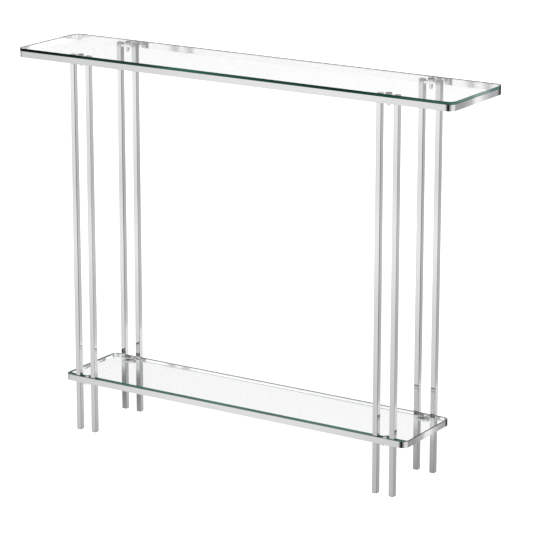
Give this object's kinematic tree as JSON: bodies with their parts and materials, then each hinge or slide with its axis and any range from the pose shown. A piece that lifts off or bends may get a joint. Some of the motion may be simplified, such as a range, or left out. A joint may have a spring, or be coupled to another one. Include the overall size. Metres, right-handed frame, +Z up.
{
  "type": "console table",
  "caption": "Long, narrow console table with a glass top and a low glass shelf, each on a polished flat-bar ring, carried by pairs of slim square posts.",
  "frame": {"origin": "on the floor, under the middle of the table", "axes": "+Z up, +X along the length, Y along the depth with the pictured long side at -Y"},
  "size_m": [1.1, 0.22, 0.87],
  "materials": {
    "post_steel": "polished",
    "bar_steel": "polished",
    "fastener_steel": "polished",
    "top_glass": "clear float glass, green at the edges",
    "shelf_glass": "clear float glass, green at the edges",
    "glide_plastic": "moulded",
    "plug_plastic": "moulded",
    "pad_rubber": "soft, cloudy clear",
    "bumper_rubber": "soft, cloudy clear"
  },
  "bodies": {
    "root": {"glass_pad_back_left": "pad_rubber", "glass_pad_back_right": "pad_rubber", "glass_pad_front_left": "pad_rubber", "glass_pad_front_right": "pad_rubber", "glide_back_left_inner": "glide_plastic", "glide_back_left_outer": "glide_plastic", "glide_back_right_inner": "glide_plastic", "glide_back_right_outer": "glide_plastic", "glide_front_left_inner": "glide_plastic", "glide_front_left_outer": "glide_plastic", "glide_front_right_inner": "glide_plastic", "glide_front_right_outer": "glide_plastic", "plug_back_left_inner": "plug_plastic", "plug_back_left_outer": "plug_plastic", "plug_back_right_inner": "plug_plastic", "plug_back_right_outer": "plug_plastic", "plug_front_left_inner": "plug_plastic", "plug_front_left_outer": "plug_plastic", "plug_front_right_inner": "plug_plastic", "plug_front_right_outer": "plug_plastic", "post_back_left_inner": "post_steel", "post_back_left_outer": "post_steel", "post_back_right_inner": "post_steel", "post_back_right_outer": "post_steel", "post_front_left_inner": "post_steel", "post_front_left_outer": "post_steel", "post_front_right_inner": "post_steel", "post_front_right_outer": "post_steel", "shelf_bolts": "fastener_steel", "shelf_bridge_back_left": "bar_steel", "shelf_bridge_back_right": "bar_steel", "shelf_bridge_front_left": "bar_steel", "shelf_bridge_front_right": "bar_steel", "shelf_bumper_back_left": "bumper_rubber", "shelf_bumper_back_right": "bumper_rubber", "shelf_bumper_front_left": "bumper_rubber", "shelf_bumper_front_right": "bumper_rubber", "shelf_glass": "shelf_glass", "shelf_lug_back_left": "bar_steel", "shelf_lug_back_right": "bar_steel", "shelf_lug_front_left": "bar_steel", "shelf_lug_front_right": "bar_steel", "shelf_ring": "bar_steel", "shelf_thumb_nuts": "fastener_steel", "top_bolts": "fastener_steel", "top_bridge_back_left": "bar_steel", "top_bridge_back_right": "bar_steel", "top_bridge_front_left": "bar_steel", "top_bridge_front_right": "bar_steel", "top_cap_nuts": "fastener_steel", "top_glass": "top_glass", "top_ring": "bar_steel", "top_strap_back_left": "bar_steel", "top_strap_back_right": "bar_steel", "top_strap_front_left": "bar_steel", "top_strap_front_right": "bar_steel", "top_washers": "fastener_steel"}
  },
  "joints": []
}
